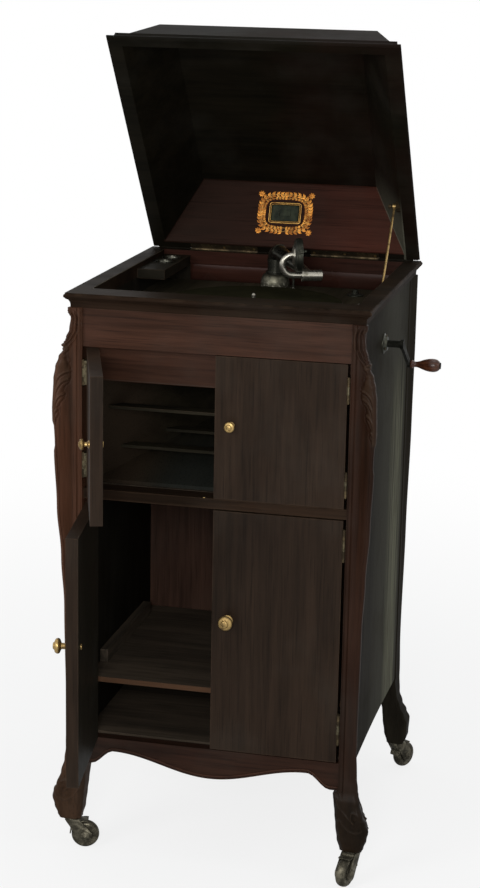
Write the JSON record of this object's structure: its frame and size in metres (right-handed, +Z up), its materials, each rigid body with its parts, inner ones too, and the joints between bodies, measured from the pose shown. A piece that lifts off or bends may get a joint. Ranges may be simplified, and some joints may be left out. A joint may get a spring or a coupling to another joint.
{
  "type": "gramophone cabinet",
  "caption": "Floor-standing wooden gramophone cabinet with a domed lid on a stay, paired doors over horn and record space, a winding crank and casters.",
  "frame": {"origin": "on the floor under the middle of the cabinet", "axes": "+Z up, the front with the doors faces -Y, +X is the viewer's right when looking at the front"},
  "size_m": [0.6013, 0.7768, 1.3863],
  "materials": {
    "carved_wood": "satin",
    "door_wood": "satin",
    "panel_wood": "satin",
    "inner_wood": "satin",
    "brass": "satin",
    "nickel": "satin",
    "felt": "matte",
    "iron": "matte",
    "steel": "satin",
    "grip_wood": "gloss",
    "caster_iron": "satin"
  },
  "bodies": {
    "cabinet": {"front_posts": "carved_wood", "rear_posts": "carved_wood", "side_panels": "panel_wood", "back_panel": "panel_wood", "front_frieze": "carved_wood", "mid_rail": "carved_wood", "front_apron": "carved_wood", "top_moulding": "carved_wood", "motor_board": "inner_wood", "horn_floor": "inner_wood", "cabinet_floor": "inner_wood", "inner_back": "inner_wood", "record_shelf": "inner_wood", "shelf_battens": "inner_wood", "sound_horn": "inner_wood", "horn_louvres": "inner_wood", "horn_elbow": "iron", "needle_tray": "inner_wood", "needle_cups": "nickel", "tone_arm_bracket": "nickel", "hinge_leaves": "brass", "stay_guide": "brass", "crank_escutcheon": "brass", "caster_sockets": "caster_iron", "motor_frame": "iron", "arm_post": "nickel"},
    "lid": {"lid_frame": "carved_wood", "lid_dome": "carved_wood", "lid_fittings": "brass"},
    "stay": {"stay_rod": "brass"},
    "upper_left_leaf": {"upper_left_door": "door_wood", "upper_left_fittings": "brass"},
    "upper_right_leaf": {"upper_right_door": "door_wood", "upper_right_fittings": "brass"},
    "lower_left_leaf": {"lower_left_door": "door_wood", "lower_left_fittings": "brass"},
    "lower_right_leaf": {"lower_right_door": "door_wood", "lower_right_fittings": "brass"},
    "turntable": {"platter": "nickel", "platter_felt": "felt", "spindle": "nickel"},
    "barrel": {"spring_barrel": "iron"},
    "winding_shaft": {"winding_gear": "iron"},
    "governor_shaft": {"governor": "brass"},
    "arm": {"tone_arm": "nickel"},
    "neck": {"gooseneck": "nickel", "sound_box": "nickel", "needle_clamp": "nickel"},
    "brake": {"brake_lever": "nickel"},
    "speed": {"speed_control": "nickel"},
    "handle": {"crank": "steel"},
    "grip": {"crank_grip": "grip_wood"},
    "front_left_swivel": {"front_left_fork": "caster_iron"},
    "front_left_roller": {"front_left_wheel": "caster_iron"},
    "front_right_swivel": {"front_right_fork": "caster_iron"},
    "front_right_roller": {"front_right_wheel": "caster_iron"},
    "rear_left_swivel": {"rear_left_fork": "caster_iron"},
    "rear_left_roller": {"rear_left_wheel": "caster_iron"},
    "rear_right_swivel": {"rear_right_fork": "caster_iron"},
    "rear_right_roller": {"rear_right_wheel": "caster_iron"}
  },
  "joints": [
    {"name": "lid", "type": "hinge", "parent": "cabinet", "child": "lid", "pos_m": [0, 0.254, 0.974], "axis": [-1, 0, 0], "range_deg": [-52.5, 0]},
    {"name": "stay", "type": "hinge", "parent": "lid", "child": "stay", "pos_m": [0.211, 0.1788, 1.0802], "axis": [-1, 0, 0], "range_deg": [0, 87]},
    {"name": "upper_left_door", "type": "hinge", "parent": "cabinet", "child": "upper_left_leaf", "pos_m": [-0.219, -0.259, 0.767], "axis": [0, 0, -1], "range_deg": [-71, 39]},
    {"name": "upper_right_door", "type": "hinge", "parent": "cabinet", "child": "upper_right_leaf", "pos_m": [0.219, -0.259, 0.767], "axis": [0, 0, 1], "range_deg": [0, 110]},
    {"name": "lower_left_door", "type": "hinge", "parent": "cabinet", "child": "lower_left_leaf", "pos_m": [-0.219, -0.259, 0.42], "axis": [0, 0, -1], "range_deg": [-81, 29]},
    {"name": "lower_right_door", "type": "hinge", "parent": "cabinet", "child": "lower_right_leaf", "pos_m": [0.219, -0.259, 0.42], "axis": [0, 0, 1], "range_deg": [0, 110]},
    {"name": "turntable_spin", "type": "hinge", "parent": "cabinet", "child": "turntable", "pos_m": [0.005, -0.01, 0.926], "axis": [0, 0, 1], "continuous": true},
    {"name": "barrel_spin", "type": "hinge", "parent": "cabinet", "child": "barrel", "pos_m": [0.0382, -0.05, 0.85], "axis": [0, 0, 1], "continuous": true},
    {"name": "governor_spin", "type": "hinge", "parent": "cabinet", "child": "governor_shaft", "pos_m": [-0.024, -0.01, 0.883], "axis": [0, 1, 0], "continuous": true},
    {"name": "crank_turn", "type": "hinge", "parent": "cabinet", "child": "handle", "pos_m": [0.272, -0.05, 0.882], "axis": [1, 0, 0], "continuous": true},
    {"name": "winding_spin", "type": "hinge", "parent": "cabinet", "child": "winding_shaft", "pos_m": [0.0382, -0.05, 0.87], "axis": [0, 0, 1], "continuous": true},
    {"name": "grip_spin", "type": "hinge", "parent": "handle", "child": "grip", "pos_m": [0.272, 0.03015, 0.83288], "axis": [1, 0, 0], "continuous": true},
    {"name": "tone_arm_swing", "type": "hinge", "parent": "cabinet", "child": "arm", "pos_m": [0, 0.18, 0.95], "axis": [0, 0, 1], "range_deg": [-10, 24]},
    {"name": "gooseneck_turn", "type": "hinge", "parent": "arm", "child": "neck", "pos_m": [0.10855, 0.0566, 0.972], "axis": [0.9527, 0.304, 0], "range_deg": [0, 90]},
    {"name": "brake_turn", "type": "hinge", "parent": "cabinet", "child": "brake", "pos_m": [-0.11266, -0.12766, 0.922], "axis": [0, 0, 1], "range_deg": [-5, 20]},
    {"name": "speed_turn", "type": "hinge", "parent": "cabinet", "child": "speed", "pos_m": [0.148, 0.169, 0.922], "axis": [0, 0, 1], "range_deg": [-60, 60]},
    {"name": "front_left_caster_swivel", "type": "hinge", "parent": "cabinet", "child": "front_left_swivel", "pos_m": [-0.246, -0.244, 0.056], "axis": [0, 0, 1], "continuous": true},
    {"name": "front_left_wheel_roll", "type": "hinge", "parent": "front_left_swivel", "child": "front_left_roller", "pos_m": [-0.22282, -0.23779, 0.024], "axis": [-0.2588, 0.9659, 0], "continuous": true},
    {"name": "front_right_caster_swivel", "type": "hinge", "parent": "cabinet", "child": "front_right_swivel", "pos_m": [0.246, -0.244, 0.056], "axis": [0, 0, 1], "continuous": true},
    {"name": "front_right_wheel_roll", "type": "hinge", "parent": "front_right_swivel", "child": "front_right_roller", "pos_m": [0.23979, -0.26718, 0.024], "axis": [0.9659, -0.2588, 0], "continuous": true},
    {"name": "rear_left_caster_swivel", "type": "hinge", "parent": "cabinet", "child": "rear_left_swivel", "pos_m": [-0.2405, 0.244, 0.056], "axis": [0, 0, 1], "continuous": true},
    {"name": "rear_left_wheel_roll", "type": "hinge", "parent": "rear_left_swivel", "child": "rear_left_roller", "pos_m": [-0.2525, 0.26478, 0.024], "axis": [-0.866, -0.5, 0], "continuous": true},
    {"name": "rear_right_caster_swivel", "type": "hinge", "parent": "cabinet", "child": "rear_right_swivel", "pos_m": [0.2405, 0.244, 0.056], "axis": [0, 0, 1], "continuous": true},
    {"name": "rear_right_wheel_roll", "type": "hinge", "parent": "rear_right_swivel", "child": "rear_right_roller", "pos_m": [0.2525, 0.26478, 0.024], "axis": [-0.866, 0.5, 0], "continuous": true}
  ],
  "couplings": [
    {"joint": "stay", "follows": "lid", "ratio": -1.6495},
    {"joint": "barrel_spin", "follows": "turntable_spin", "ratio": -0.18421},
    {"joint": "governor_spin", "follows": "turntable_spin", "ratio": 11},
    {"joint": "winding_spin", "follows": "crank_turn", "ratio": -0.3}
  ]
}
